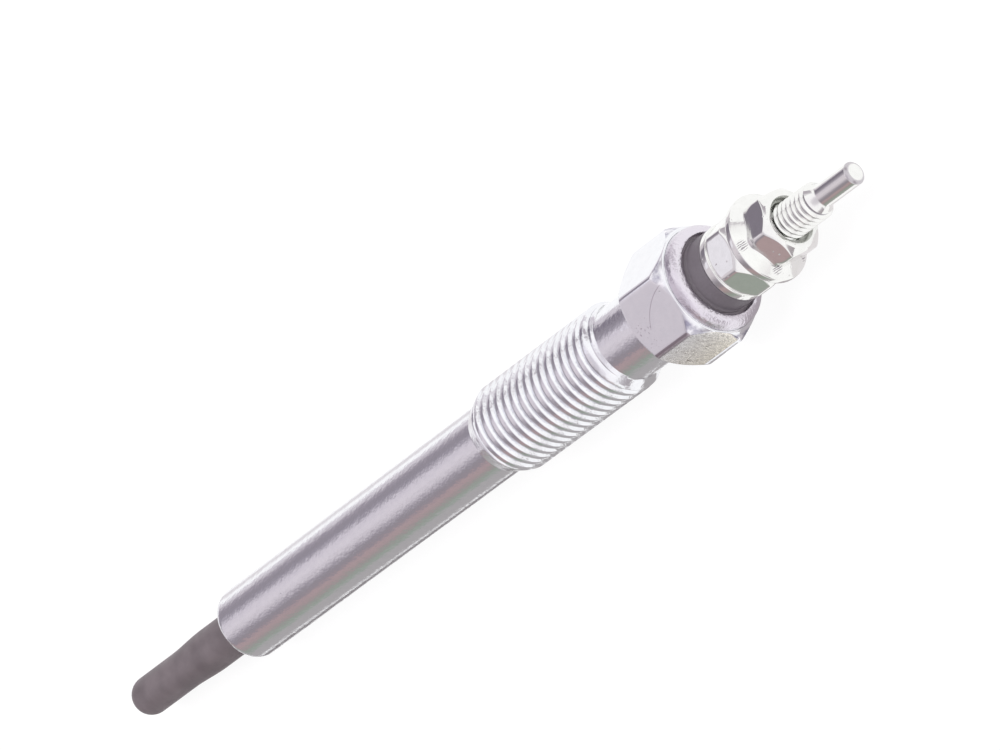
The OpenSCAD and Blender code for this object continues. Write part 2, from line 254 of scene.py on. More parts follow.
add_node(tree, "ShaderNodeOutputWorld", {}, {"Surface": sky.outputs[0]})
print(f"light tent with {len(tent_panels)} stops, and {len(low_panels)} on the terminal's side")

# %% [markdown]
# ## Floor and lamp
# The floor is a plain pale sheet of paper. For the rays that look at it, a glow brings it up to white, and
# a weak matt part keeps the plug's shadow. Metal mirrors the same sheet with a little less glow. Other rays
# meet ordinary paper. One soft lamp over the plug gives the shadow its direction.

# %% Floor and lamp
floor_size = 8.0
paper = linear("#f4f2f3")
shadow_share = 0.16
glow = 0.87
mirrored_glow = 0.86


def add_plane(name, size):
    """A new plane at the origin, selected by itself."""
    bpy.ops.object.select_all(action="DESELECT")
    bpy.ops.mesh.primitive_plane_add(size=size)
    bpy.context.object.name = name
    return bpy.context.object


floor = add_plane("floor_sheet", floor_size)
sheet = bpy.data.materials.new("white_paper_sheet")
sheet.use_nodes = True
tree = sheet.node_tree
tree.nodes.clear()
path, looked_at = straight_look(tree)
mirrored = add_node(tree, "ShaderNodeMath", {"operation": "MULTIPLY"}, {
    0: path.outputs["Is Glossy Ray"], 1: mirrored_glow,
})
strength = add_node(tree, "ShaderNodeMath", {"operation": "MULTIPLY_ADD"}, {
    0: looked_at, 1: glow, 2: mirrored.outputs[0],
})
bright = add_node(tree, "ShaderNodeMath", {"operation": "MAXIMUM"}, {
    0: looked_at, 1: path.outputs["Is Glossy Ray"],
})
matt = add_node(tree, "ShaderNodeMix", {"data_type": "RGBA"}, {
    "Factor": bright.outputs[0], 6: paper, 7: [shadow_share] * 3 + [1.0],
})
diffuse = add_node(tree, "ShaderNodeBsdfDiffuse", {}, {"Color": matt.outputs[2]})
lit = add_node(tree, "ShaderNodeEmission", {}, {"Color": (1, 1, 1, 1), "Strength": strength.outputs[0]})
lit_paper = add_node(tree, "ShaderNodeAddShader", {}, {0: diffuse.outputs[0], 1: lit.outputs[0]})
add_node(tree, "ShaderNodeOutputMaterial", {}, {"Surface": lit_paper.outputs[0]})
floor.data.materials.append(sheet)

lamp_size = 0.5
lamp_watts = 3.4
lamp_place = (-0.1, 0.25, 0.75)
bpy.ops.object.light_add(type="AREA", location=lamp_place)
lamp = bpy.context.object
lamp.name = "soft_lamp"
lamp.data.size = lamp_size
lamp.data.energy = lamp_watts
lamp.visible_glossy = False
lamp.rotation_euler = (aimed_point - lamp.location).to_track_quat("-Z", "Y").to_euler()
print(f"floor {floor_size:.0f} m wide, lamp of {lamp_watts:.1f} W")

# %% [markdown]
# ## Cards for the metal to mirror
# A photographer lays cards beside bright metal to give it shape. Grey ones along the near side are painted
# shadow: they stand for the plug's own shadow on the sheet as the metal mirrors it, so its underside does
# not vanish into the white, and a darker strip of painted shadow draws its lower edge. Beside the neck they
# are narrow, because the coarse flat of the hexagon looks past them at the sheet. At the far side lie a
# slate card and a pale strip, and two flags hang there: a dark one shows in one face of the terminal nut,
# and a white one in the clamp nut. Only mirrored rays see them.

# %% Studio cards
def studio_card(name, low, high, normal_turn, colour):
    """Puts up a glowing card between two corners in millimetres, turned about X, that only mirrors show."""
    card = add_plane(name, 1)
    card.location = (Vector(low) + Vector(high)) / 2 * MM
    card.rotation_euler = (normal_turn, 0, 0)
    width = (Vector(high) - Vector(low)) * MM
    card.scale = (width.x, max(width.y, width.z), 1)
    card.visible_camera = card.visible_diffuse = False
    card.visible_shadow = card.visible_transmission = False
    material = bpy.data.materials.new(name)
    material.use_nodes = True
    tree = material.node_tree
    tree.nodes.clear()
    light = add_node(tree, "ShaderNodeEmission", {}, {"Color": linear(colour), "Strength": 1.0})
    add_node(tree, "ShaderNodeOutputMaterial", {}, {"Surface": light.outputs[0]})
    card.data.materials.append(material)


card_lift = 0.4
edge_of_floor = 4000
# cards on the floor, by two corners in millimetres; the grey near-side ones are painted shadow
floor_cards = [
    ("mirrored_shadow_card", (-edge_of_floor, -edge_of_floor), (16.5, -10.5), "#aeaaab"),
    ("neck_shadow_card", (16.5, -16.5), (30, -10.5), "#aeaaab"),
    ("foot_shadow_card", (20.5, -10.5), (30, -6.5), "#aeaaab"),
    ("nut_shadow_card", (36, -13.5), (46.5, -4), "#b8b2b5"),
    ("pin_card", (46.5, -10.8), (58, -2.8), "#e9e5e7"),
    ("mirrored_shadow_strip", (-edge_of_floor, -9), (20.5, -5.5), "#8f8a8c"),
    ("slate_card", (-edge_of_floor, 26), (40, edge_of_floor), "#d6cfd6"),
    ("pale_strip", (-edge_of_floor, 7.5), (16, 12.5), "#e3dee1"),
]
for name, low, high, colour in floor_cards:
    studio_card(name, (*low, card_lift), (*high, card_lift), 0, colour)
studio_card("dark_flag", (-75, 106, 15), (8, 106, 60), math.pi / 2, "#847d89")
studio_card("white_flag", (-4, 19, 43.8), (14, 36, 43.8), 0, "#f0ecf5")
print(f"{len(floor_cards)} cards and two flags")

# %% [markdown]
# ## A lathe
# Every piece of the plug starts on a lathe. An outline of radius and height is drawn as a chain of extruded
# vertices, and spin carries it once round the axis. Turned edges are never quite sharp, so each corner of
# an outline may name a rounding, and a short curve takes its place. Spin leaves doubles at the seam and on
# the axis, so they are merged before the normals are set.

# %% Lathe helpers
def soften(outline, closed=False, steps=3):
    """Outline points are (radius, height, rounding). Each rounding becomes a short curve."""
    points = []
    count = len(outline)
    # a rounding takes less than half of each side, so that two of them never meet
    most = 0.48
    for i, (r, z, rounding) in enumerate(outline):
        corner = np.array((r, z))
        if rounding == 0 or (not closed and i in (0, count - 1)):
            points.append(corner)
            continue
        ends = []
        for neighbour in (outline[i - 1], outline[(i + 1) % count]):
            side = np.array(neighbour[:2]) - corner
            length = np.linalg.norm(side)
            ends.append(corner + side / length * min(rounding, length * most))
        start, end = ends
        for t in np.linspace(0, 1, steps + 1):
            points.append((1 - t) ** 2 * start + 2 * t * (1 - t) * corner + t ** 2 * end)
    return points


def arc(centre_r, centre_z, radius, start, end, steps):
    """Outline points along an arc. Angles are in degrees, from outwards towards the terminal."""
    angles = np.radians(np.linspace(start, end, steps + 1))
    return [(centre_r + radius * math.cos(a), centre_z + radius * math.sin(a), 0) for a in angles]


def draw_chain(name, points):
    """Draws points of radius and height, in millimetres, as a chain of edges in the XZ plane."""
    piece = add_plane(name, MM)
    piece.data.name = name
    bpy.ops.object.mode_set(mode="EDIT")
    bpy.ops.mesh.select_all(action="SELECT")
    bpy.ops.mesh.merge(type="CENTER")
    here = Vector((0, 0, 0))
    for i, (r, z) in enumerate(points):
        there = Vector((r, 0, z)) * MM
        if i == 0:
            bpy.ops.transform.translate(value=there)
        else:
            bpy.ops.mesh.extrude_region_move(TRANSFORM_OT_translate={"value": there - here})
        here = there
    bpy.ops.object.mode_set(mode="OBJECT")
    return piece


def turn_on_lathe(name, outline, columns, closed=False, steps=3):
    """Spins an outline round the axis. A closed one is a ring's section."""
    piece = draw_chain(name, soften(outline, closed, steps))
    last = len(piece.data.vertices) - 1
    for v in piece.data.vertices:
        v.select = v.index in (0, last)
    bpy.ops.object.mode_set(mode="EDIT")
    if closed:
        bpy.ops.mesh.edge_face_add()
    bpy.ops.mesh.select_all(action="SELECT")
    bpy.ops.mesh.spin(steps=columns, angle=2 * math.pi, center=(0, 0, 0), axis=(0, 0, 1))
    bpy.ops.object.mode_set(mode="OBJECT")
    close_seams(piece)
    return piece


def close_seams(piece, distance=0.002):
    """Merges doubles, then points the faces outwards, and counts the edges that are still open."""
    bpy.ops.object.mode_set(mode="EDIT")
    bpy.ops.mesh.select_all(action="SELECT")
    bpy.ops.mesh.remove_doubles(threshold=distance * MM)
    bpy.ops.mesh.select_all(action="SELECT")
    bpy.ops.mesh.normals_make_consistent(inside=False)
    bpy.ops.mesh.select_all(action="DESELECT")
    bpy.ops.mesh.select_non_manifold()
    bpy.ops.object.mode_set(mode="OBJECT")
    return sum(edge.select for edge in piece.data.edges)


# %% [markdown]
# ## A screw thread
# A thread could be painted as rings, but its slope shows. So one pitch of the sixty-degree form is drawn as
# a chain with rounded corners, and a Screw modifier winds it along the axis. The body's thread is shallow,
# and its flat crests mirror the tent's bands. At both ends a thread runs out into plain metal. There the
# vertices are brought inside a cone, and those at or past the end are gathered on its last circle, where
# the turned blank joins on.

# %% Thread helper
def wind_thread(name, crest, root, pitch, low, low_run, low_r, high, high_run, high_r, columns, snap=0.03):
    """Winds a thread between two heights, running out to plain circles at both ends."""
    start = low - pitch
    root_w = pitch / 8
    rounding = root_w * 0.45
    foot = root_w / 2
    flank = math.radians(30)
    brink = foot + (crest - root) * math.tan(flank)
    form = soften([
        (root, start, 0), (root, start + foot, rounding), (crest, start + brink, rounding),
        (crest, start + pitch - brink, rounding), (root, start + pitch - foot, rounding),
        (root, start + pitch, 0),
    ])
    skin = draw_chain(name, form)
    bpy.ops.object.modifier_add(type="SCREW")
    screw = skin.modifiers[-1]
    screw.angle = 2 * math.pi
    screw.steps = screw.render_steps = columns
    screw.screw_offset = pitch * MM
    screw.iterations = math.ceil((high - start) / pitch) + 1
    screw.use_merge_vertices = True
    screw.merge_threshold = 0.001 * MM
    bpy.ops.object.modifier_apply(modifier=screw.name)
    radius, angle, height = vertices_of(skin)
    height = np.where(height < low + snap, low, np.where(height > high - snap, high, height))
    cone = np.interp(height, [low, low + low_run, high - high_run, high], [low_r, crest, crest, high_r])
    radius = np.where((height == low) | (height == high), cone, np.minimum(radius, cone))
    put_vertices(skin, radius, angle, height)
    close_seams(skin)
    return skin


def vertices_of(piece):
    """The piece's vertices in cylinder coordinates, in millimetres and radians."""
    places = np.zeros(len(piece.data.vertices) * 3)
    piece.data.vertices.foreach_get("co", places)
    x, y, height = (places.reshape(-1, 3) / MM).T
    return np.hypot(x, y), np.arctan2(y, x), height


def put_vertices(piece, radius, angle, height):
    """Moves the piece's vertices to new cylinder coordinates in millimetres and radians."""
    places = np.stack([radius * np.cos(angle), radius * np.sin(angle), height], 1) * MM
    piece.data.vertices.foreach_set("co", places.ravel())
    piece.data.update()


def weld(blank, *skins):
    """Joins skins to a blank along their shared circles, and says how many edges stay open."""
    bpy.ops.object.select_all(action="DESELECT")
    for part in (blank, *skins):
        part.select_set(True)
    bpy.context.view_layer.objects.active = blank
    bpy.ops.object.join()
    return close_seams(blank)


# %% [markdown]
# ## Milling flats
# A hexagon could be cut with six Boolean planes, but the cuts leave knife edges and slivers. Here the blank
# has close rows and columns where the flats will be, and its vertices are pulled in to the flats with a
# soft minimum. So every edge between flat, corner and chamfer comes out slightly rounded and catches the
# light. The columns crowd at the corners, where the shape turns quickest.

# %% Milling helpers
def soft_min(a, b, blend):
    """The smaller of two radii, eased over the blend where they are alike."""
    ease = np.clip(blend - np.abs(a - b), 0, None)
    return np.minimum(a, b) - ease ** 2 / (4 * blend)


def mill_hexagon(piece, low, high, inner, flats, corner, blend, skirt=None):
    """Mills six flats between two heights, outside the inner radius. A skirt's radius is left standing."""
    radius, angle, height = vertices_of(piece)
    sector = math.radians(60)
    off_face = (angle + sector / 2) % sector - sector / 2
    crowded = sector / 2 * np.sin(off_face / sector * math.pi)
    flat = flats / 2 / np.cos(crowded)
    next_flat = flats / 2 / np.cos(sector - np.abs(crowded))
    # where two radii are alike, the soft minimum takes off a quarter of its blend
    corner_blend = 4 * (flats / 2 / math.cos(sector / 2) - corner)
    milled = soft_min(radius, soft_min(flat, next_flat, corner_blend), blend)
    if skirt is not None:
        milled = -soft_min(-milled, -skirt(height), blend / 3)
    margin = 1e-4
    cut = (height > low - margin) & (height < high + margin) & (radius > inner)
    milled_angle = angle - off_face + crowded
    put_vertices(piece, np.where(cut, milled, radius), np.where(cut, milled_angle, angle), height)


def rows(points, counts):
    """Close rows of a blank along a chain of outline points, with a count for each stretch."""
    outline = []
    for start, end, count in zip(points, points[1:], counts):
        way = np.array(end) - np.array(start)
        outline += [(*(np.array(start) + way * i / count), 0) for i in range(count)]
    return outline + [(*points[-1], 0)]


# %% [markdown]
# ## Laying a piece down
# The pieces are made upright on the Z axis, where a lathe is easy to think about. A finished piece is
# turned to its angle, laid along the plug's axis and moved to the tip, and this is applied to its mesh.
# Weighted normals then keep wide faces flat beside their small roundings.

# %% Laying down
face_weight = 80


def lay_down(piece, node, turn=0.0):
    """Lays an upright piece where the plug lies, in place of a CAD node."""
    bpy.ops.object.select_all(action="DESELECT")
    piece.select_set(True)
    bpy.context.view_layer.objects.active = piece
    lying = Matrix.Rotation(math.pi / 2 - tilt, 4, "Y") @ Matrix.Rotation(math.radians(turn), 4, "Z")
    piece.matrix_world = Matrix.Translation(tip) @ lying
    bpy.ops.object.transform_apply(location=True, rotation=True, scale=True)
    bpy.ops.object.shade_smooth()
    bpy.ops.object.modifier_add(type="WEIGHTED_NORMAL")
    piece.modifiers[-1].weight = face_weight
    bpy.ops.object.modifier_apply(modifier=piece.modifiers[-1].name)
    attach(piece, "root")
    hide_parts(node)
    triangles = sum(len(face.vertices) - 2 for face in piece.data.polygons)
    print(f"{piece.name}: {triangles} triangles")


# %% [markdown]
# ## The body
# The body is one turned steel piece: a plain shank with a conical seat, the mounting thread, a neck, the
# hexagon, and a thin collar that is crimped over the insulating bush. Its bores grip the heater and give
# the rod room. The outline goes up the outside and back down the bores, with a gap for the thread.

# %% Body sizes
body_columns = 144
seat_low = 20.3
shank_low = 21.2
shank_r = 4.05
seat_r = 3.25
thread_crest = 4.98
thread_root = 4.48
thread_pitch = 1.25
neck_r = 4.2
hex_low = 97.1
hex_high = 104.3
hex_flats = 11.8
hex_corner_ratio = 1.139
low_chamfer = 0.7
high_chamfer = 1.25
edge_blend = 0.16
collar_r = 5.65
collar_top = 105.8
collar_round = 1.0
lip_r = 4.5
lip_low = 105.1
recess_r = 4.85
recess_low = 103.3
seal_bore_r = 3.35
seal_seat = 96.95
seal_cone = 0.4
rod_bore_r = 2.8
grip_r = 2.425
grip_high = 36.3
small_round = 0.12

# %% Body
hex_r = hex_flats / 2
hex_corner = hex_r * hex_corner_ratio
# the blank stands a little proud of the corners, so that only the chamfers meet the flats
proud_r = hex_corner + edge_blend
low_rise = low_chamfer * (proud_r - hex_r) / (hex_corner - hex_r)
high_rise = high_chamfer * (proud_r - hex_r) / (hex_corner - hex_r)
hexagon_blank = rows([
    (hex_r, hex_low), (proud_r, hex_low + low_rise), (proud_r, hex_high - high_rise), (hex_r, hex_high),
], [14, 6, 20])
above_thread = (
    [(neck_r, thread_end, 0), (neck_r, hex_low, 0.15)]
    + hexagon_blank
    + [(collar_r, hex_high, 0.1)]
    + arc(collar_r - collar_round, collar_top - collar_round, collar_round, 0, 84, 10)
    + [(lip_r, collar_top, small_round), (lip_r, lip_low, 0)]
    + [(recess_r, lip_low, 0), (recess_r, recess_low, 0)]
    + [(seal_bore_r, recess_low, 0), (seal_bore_r, seal_seat, 0), (rod_bore_r, seal_seat - seal_cone, 0)]
    + [(rod_bore_r, grip_high, 0), (grip_r, grip_high, 0), (grip_r, seat_low, small_round)]
    + [(seat_r, seat_low, 0.25), (shank_r, shank_low, 0.5), (shank_r, thread_start, 0)]
)
body = turn_on_lathe("turned_body", above_thread, body_columns)
mill_hexagon(body, hex_low, hex_high, collar_r + 0.05, hex_flats, hex_corner, edge_blend)
body_thread = wind_thread(
    "body_thread", thread_crest, thread_root, thread_pitch,
    thread_start, thread_lead_in, shank_r, thread_end, thread_run_out, neck_r, body_columns,
)
print("open edges of the body:", weld(body, body_thread))
lay_down(body, "housing")

# %% [markdown]
# ## The heater tube
# The glowing end is a closed nickel alloy tube, swaged to a smaller diameter at its hot end and rounded at
# the tip. It is a true tube: the outline runs from the tip up the outside and back down the inside.

# %% Heater tube
tube_columns = 96
tube_tip_r = 2.175
# a hair of room, so that the round tip stays inside the solid's box
tip_inset = 0.002
tube_base_r = 2.425
tube_wall = 0.6
taper_low = 9.5
taper_high = 13.5
tube_mouth = 46.3
taper_round = 0.8
tube_outline = (
    arc(0, tube_tip_r + tip_inset, tube_tip_r, -90, 0, 16)
    + [(tube_tip_r, taper_low, taper_round), (tube_base_r, taper_high, taper_round)]
    + [(tube_base_r, tube_mouth, 0.1), (tube_base_r - tube_wall, tube_mouth, 0.1)]
    + [(tube_base_r - tube_wall, taper_high, 0), (tube_tip_r - tube_wall, taper_low, 0)]
    + arc(0, tube_tip_r, tube_tip_r - tube_wall, 0, -90, 12)
)
tube = turn_on_lathe("heater_tube", tube_outline, tube_columns, steps=5)
lay_down(tube, "heater_sheath")

# %% [markdown]
# ## The terminal rod
# One rod carries the current. Its thin tail stands in the tube, its plain length runs through the body,
# and its stud holds both nuts and ends in a smooth pilot pin. The stud's thread is wound as the body's is.

# %% Terminal rod
rod_columns = 72
tail_low = 17.24
tail_r = 0.95
rod_low = 46.8
rod_r = 1.75
stud_low = 102.0
stud_high = 122.5
stud_crest = 1.98
stud_root = 1.56
stud_pitch = 0.7
stud_run = 0.5
pilot_r = 1.25
pilot_low = 123.1
pilot_high = 128.1
pilot_chamfer = 0.25
rod_outline = [
    (0, tail_low, 0), (tail_r, tail_low, 0.1), (tail_r, rod_low, 0),
    (rod_r, rod_low, 0.2), (rod_r, stud_low, 0),
]
pin_outline = [
    (stud_root, stud_high, 0), (pilot_r, pilot_low, 0.15), (pilot_r, pilot_high - pilot_chamfer, 0.15),
    (pilot_r - pilot_chamfer, pilot_high, 0.08), (0, pilot_high, 0),
]
rod = turn_on_lathe("terminal_stud", rod_outline, rod_columns)
pin = turn_on_lathe("pilot_end", pin_outline, rod_columns)
stud = wind_thread(
    "stud_thread", stud_crest, stud_root, stud_pitch,
    stud_low, stud_run, rod_r, stud_high, stud_run, stud_root, rod_columns,
)
print("open edges of the rod:", weld(rod, pin, stud))
lay_down(rod, "terminal_rod")

# %% [markdown]
# ## The insulating bush
# A black moulded bush keeps the rod clear of the body. Its flange is held under the crimped lip, and its
# neck stands out of the collar as the dark ring below the nut.

# %% Insulating bush
bush_columns = 96
bush_hole_r = 2.05
bush_sleeve_r = 3.3
bush_flange_r = 4.8
bush_neck_r = 4.1
bush_low = 100.1
bush_top = 108.0
bush_outline = [
    (bush_hole_r, bush_low, 0.1), (bush_sleeve_r, bush_low, 0.1), (bush_sleeve_r, recess_low, 0),
    (bush_flange_r, recess_low, 0.1), (bush_flange_r, lip_low, 0.1), (bush_neck_r, lip_low, 0.15),
    (bush_neck_r, bush_top, 0.3), (bush_hole_r, bush_top, 0.1),
]
bush = turn_on_lathe("insulator_bush", bush_outline, bush_columns, closed=True, steps=4)
lay_down(bush, "insulating_bush")

# %% [markdown]
# ## The clamp nut
# A hexagon nut with a round washer face draws the rod tight against the bush. It is turned with its
# countersunk hole, milled as the body was, and turned on the stud to the angle at which it stopped.

# %% Clamp nut
nut_columns = 144
nut_blend = 0.12
nut_hole_r = 2.02
countersink = 0.6
corner_ratio = 1.13
# the mill leaves a nut alone inside this radius
milled_from = 2.5
# from the middle of a flat to a corner, in degrees
half_sector = 30
clamp_low = bush_top
clamp_high = 112.7
clamp_flats = 7.8
clamp_washer_r = 4.1
clamp_washer_h = 0.95
clamp_top_r = 3.6
clamp_low_chamfer = 0.6
clamp_high_chamfer = 1.0
# a corner of the nut stopped 13 degrees from the top, towards the near side
clamp_stop = 13 - half_sector


def nut_hole(low, high):
    """Outline of a nut's hole from its top to its foot, countersunk at both ends."""
    wide = nut_hole_r + countersink
    return [
        (wide, high, 0.06), (nut_hole_r, high - countersink, 0),
        (nut_hole_r, low + countersink, 0), (wide, low, 0.06),
    ]


clamp_r = clamp_flats / 2
clamp_corner = clamp_r * corner_ratio
proud_r = clamp_corner + nut_blend
washer_top = clamp_low + clamp_washer_h
low_rise = clamp_low_chamfer * (proud_r - clamp_r) / (clamp_corner - clamp_r)
high_rise = clamp_high_chamfer * (proud_r - clamp_top_r) / (clamp_corner - clamp_top_r)
clamp_outline = (
    [(clamp_washer_r, clamp_low, 0.15), (clamp_washer_r, washer_top, 0.2)]
    + rows([
        (clamp_r, washer_top), (proud_r, washer_top + low_rise),
        (proud_r, clamp_high - high_rise), (clamp_top_r, clamp_high),
    ], [10, 6, 14])
    + nut_hole(clamp_low, clamp_high)
)
clamp = turn_on_lathe("clamp_hexagon_nut", clamp_outline, nut_columns, closed=True)
mill_hexagon(clamp, washer_top + 0.01, clamp_high, milled_from, clamp_flats, clamp_corner, nut_blend)
lay_down(clamp, "clamp_nut", clamp_stop)

# %% [markdown]
# ## The terminal nut
# The outer nut has a flange with a sloping top that presses on the cable's eye. The mill leaves the slope
# standing as a skirt, so the flats run down into it. The blank is turned a little smaller above the slope,
# which trims the foot of each corner to a narrow lens.

# %% Terminal nut
terminal_low = clamp_high
terminal_high = 117.8
terminal_flats = 6.8
flange_r = 4.75
flange_foot_r = 4.3
flange_bevel = 0.45
flange_rim = 0.7
flange_cone = 0.95
terminal_top_r = 3.15
terminal_chamfer = 0.7
lens_r = 3.7
lens_low_run = 0.2
lens_high = 1.3
rim_step = 0.1
terminal_stop = 55 - half_sector

terminal_r = terminal_flats / 2
terminal_corner = terminal_r * corner_ratio
proud_r = terminal_corner + nut_blend
rim_low = terminal_low + flange_bevel
rim_high = rim_low + flange_rim
cone_high = rim_high + flange_cone
slope = flange_cone / (flange_r - terminal_r)
lens_low = rim_high + slope * (flange_r - lens_r)
high_rise = terminal_chamfer * (proud_r - terminal_top_r) / (terminal_corner - terminal_top_r)


def flange_slope(height):
    """Radius of the flange's sloping top at a height."""
    return np.interp(height, [rim_high, cone_high, cone_high + 0.1], [flange_r, terminal_r, 0])


terminal_outline = (
    [(flange_foot_r, terminal_low, 0.15), (flange_r, rim_low, 0.2), (flange_r, rim_high, 0.2)]
    + rows([
        (flange_r - rim_step, rim_high + rim_step * slope), (lens_r, lens_low),
        (lens_r, cone_high + lens_low_run), (proud_r, cone_high + lens_high),
        (proud_r, terminal_high - high_rise), (terminal_top_r, terminal_high),
    ], [10, 14, 8, 3, 14])
    + nut_hole(terminal_low, terminal_high)
)
terminal = turn_on_lathe("terminal_flange_nut", terminal_outline, nut_columns, closed=True)
mill_hexagon(
    terminal, rim_high + 0.05, terminal_high, milled_from,
    terminal_flats, terminal_corner, nut_blend, flange_slope,
)
lay_down(terminal, "terminal_nut", terminal_stop)

# %% [markdown]
# ## Places on the plug
# A finish follows the plug: painted shade stays in a thread, and a mark lies on one face. So each material
# reads a point in millimetres from the tip, with X along the axis and Z square up from it. A Mapping node
# turns the object's own coordinates into that. No surface has one plain colour, so each starts with two
# shades in soft clouds. The CAD node behind a new piece gets the same finish.

# %% Material helpers
def start_finish(name, metallic=0.0, roughness=0.5):
    """A new material with its node tree, its shader, and its points in millimetres from the tip."""
    material = bpy.data.materials.new(name)
    material.use_nodes = True
    tree = material.node_tree
    shader = tree.nodes["Principled BSDF"]
    shader.inputs["Metallic"].default_value = metallic
    shader.inputs["Roughness"].default_value = roughness
    own = add_node(tree, "ShaderNodeTexCoord", {}, {})
    place = add_node(tree, "ShaderNodeMapping", {"vector_type": "TEXTURE"}, {
        "Vector": own.outputs["Object"], "Location": tip, "Rotation": (0, -tilt, 0), "Scale": (MM, MM, MM),
    })
    return material, tree, shader, place.outputs["Vector"]


def mottle(tree, shader, place, size, detail, shades):
    """Gives a finish two shades in clouds of a size in millimetres, and returns the clouds."""
    clouds = add_node(tree, "ShaderNodeTexNoise", {}, {
        "Vector": place, "Scale": 1 / size, "Detail": detail,
    }).outputs["Fac"]
    colour = add_node(tree, "ShaderNodeMix", {"data_type": "RGBA"}, {
        "Factor": clouds, 6: linear(shades[0]), 7: linear(shades[1]),
    })
    tree.links.new(colour.outputs[2], shader.inputs["Base Color"])
    return clouds


def finish_pieces(material, pieces, nodes):
    """Gives pieces and CAD nodes their material."""
    for piece in (*pieces, *(frame["nodes"][node] for node in nodes)):
        if not piece.material_slots:
            piece.data.materials.append(material)
        for slot in piece.material_slots:
            slot.material = material


# %% [markdown]
# ## Bright zinc plating
# Turned steel is plated with bright zinc and passivated to a pale silver. The eye sees soft mirrored bands.
# A fine grain breaks their edges, and a few small pits are scattered over it. The finishes of the rod, the
# body and the nuts all start from this function.

# %% Bright zinc plating
lilac_zinc = ("#f7f8fa", "#edeef2")
silver_zinc = ("#f8f8f6", "#ecedea")
cloud_mm = 0.8
grain_mm = 0.25
grain_depth = 0.006
pit_r = 0.13
pit_depth = 0.035
pitted_share = 0.35


def roughen(tree, shader, height, depth):
    """Adds a bump, with its depth in millimetres, to those the shader already has."""
    bump = add_node(tree, "ShaderNodeBump", {}, {"Height": height, "Strength": 1.0, "Distance": depth * MM})
    normal = shader.inputs["Normal"]
    if normal.links:
        tree.links.new(normal.links[0].from_socket, bump.inputs["Normal"])
    tree.links.new(bump.outputs[0], normal)


def bright_zinc(name, shades, smooth, rough, pit_spacing):
    """Plating with two shades, a roughness that varies with them, a fine grain and pits."""
    material, tree, shader, place = start_finish(name, metallic=1.0)
    clouds = mottle(tree, shader, place, cloud_mm, 4.0, shades)
    gloss = add_node(tree, "ShaderNodeMapRange", {}, {
        "Value": clouds, "From Min": 0.3, "From Max": 0.7, "To Min": smooth, "To Max": rough,
    })
    tree.links.new(gloss.outputs[0], shader.inputs["Roughness"])
    grain = add_node(tree, "ShaderNodeTexNoise", {}, {
        "Vector": place, "Scale": 1 / grain_mm, "Detail": 2.0,
    })
    roughen(tree, shader, grain.outputs["Fac"], grain_depth)
    cells = add_node(tree, "ShaderNodeTexVoronoi", {}, {"Vector": place, "Scale": 1 / pit_spacing})
    hole = add_node(tree, "ShaderNodeMapRange", {"interpolation_type": "SMOOTHSTEP"}, {
        "Value": cells.outputs["Distance"], "From Min": 0, "From Max": pit_r / pit_spacing,
        "To Min": -1, "To Max": 0,
    })
    chosen = add_node(tree, "ShaderNodeMath", {"operation": "LESS_THAN"}, {
        0: cells.outputs["Color"], 1: pitted_share,
    })
    roughen(tree, shader, both(tree, hole.outputs[0], chosen.outputs[0]), pit_depth)
    return material, tree, shader, place


# %% [markdown]
# ## Marks laid over a finish
# Marks have their places: the roots of a thread, one flat, a corner, the rim of a hole. Some are wear and a
# coarse skin, and some are painted shade and painted reflections. They could be painted on an image, but a
# mask worked out from the place on the plug is sharp at any distance. Each mark is laid over the finish by
# such a mask, with a colour and a roughness of its own, and a bump where it can be felt.

# %% Overlays
dull = 0.3
# how far past the root radius the painted shade in a thread's roots reaches, and how softly it ends
root_shade_reach = 0.03
root_shade_ease = 0.1
# a mask that covers a whole surface may end this far outside it
past = 1.0


def lay_over(tree, shader, mask, colour, roughness, height=None, depth=0.0):
    """Lays another surface over a finish, where the mask is one."""
    base, gloss = shader.inputs["Base Color"], shader.inputs["Roughness"]
    tint = add_node(tree, "ShaderNodeMix", {"data_type": "RGBA"}, {
        "Factor": mask, 6: base.links[0].from_socket, 7: colour,
    })
    sheen = add_node(tree, "ShaderNodeMix", {}, {
        "Factor": mask, 2: gloss.links[0].from_socket, 3: roughness,
    })
    tree.links.new(tint.outputs[2], base)
    tree.links.new(sheen.outputs[0], gloss)
    if height is not None:
        roughen(tree, shader, both(tree, mask, height), depth)


def distance_from_axis(tree, place):
    """How far the place is from the plug's axis."""
    off_axis = add_node(tree, "ShaderNodeVectorMath", {"operation": "MULTIPLY"}, {0: place, 1: (0, 1, 1)})
    length = add_node(tree, "ShaderNodeVectorMath", {"operation": "LENGTH"}, {0: off_axis.outputs[0]})
    return length.outputs["Value"]


def reach_towards(tree, place, degrees):
    """How far the place reaches out at an angle from the top, counted towards the near side."""
    turn = math.radians(degrees)
    dot = add_node(tree, "ShaderNodeVectorMath", {"operation": "DOT_PRODUCT"}, {
        0: place, 1: (0, -math.sin(turn), math.cos(turn)),
    })
    return dot.outputs["Value"]


def ring(tree, place, low, high, end_ease, inner, outer, edge_ease):
    """A mask between two stations along the plug, and between two distances from its axis."""
    station = add_node(tree, "ShaderNodeSeparateXYZ", {}, {0: place}).outputs[0]
    along = within(tree, station, low, high, end_ease)
    return both(tree, along, within(tree, distance_from_axis(tree, place), inner, outer, edge_ease))


def shell(tree, place, centre, inner, outer, ease):
    """A mask between two distances from a point."""
    distance = add_node(tree, "ShaderNodeVectorMath", {"operation": "DISTANCE"}, {0: place, 1: centre})
    return within(tree, distance.outputs["Value"], inner, outer, ease)


def shade_roots(tree, shader, place, low, high, root):
    """Painted shade: a darker grey, duller band in the roots of a thread between two stations."""
    shaded_roots = ring(tree, place, low, high, root_shade_ease, 0, root + root_shade_reach, root_shade_ease)
    lay_over(tree, shader, shaded_roots, linear("#a29da4"), dull)
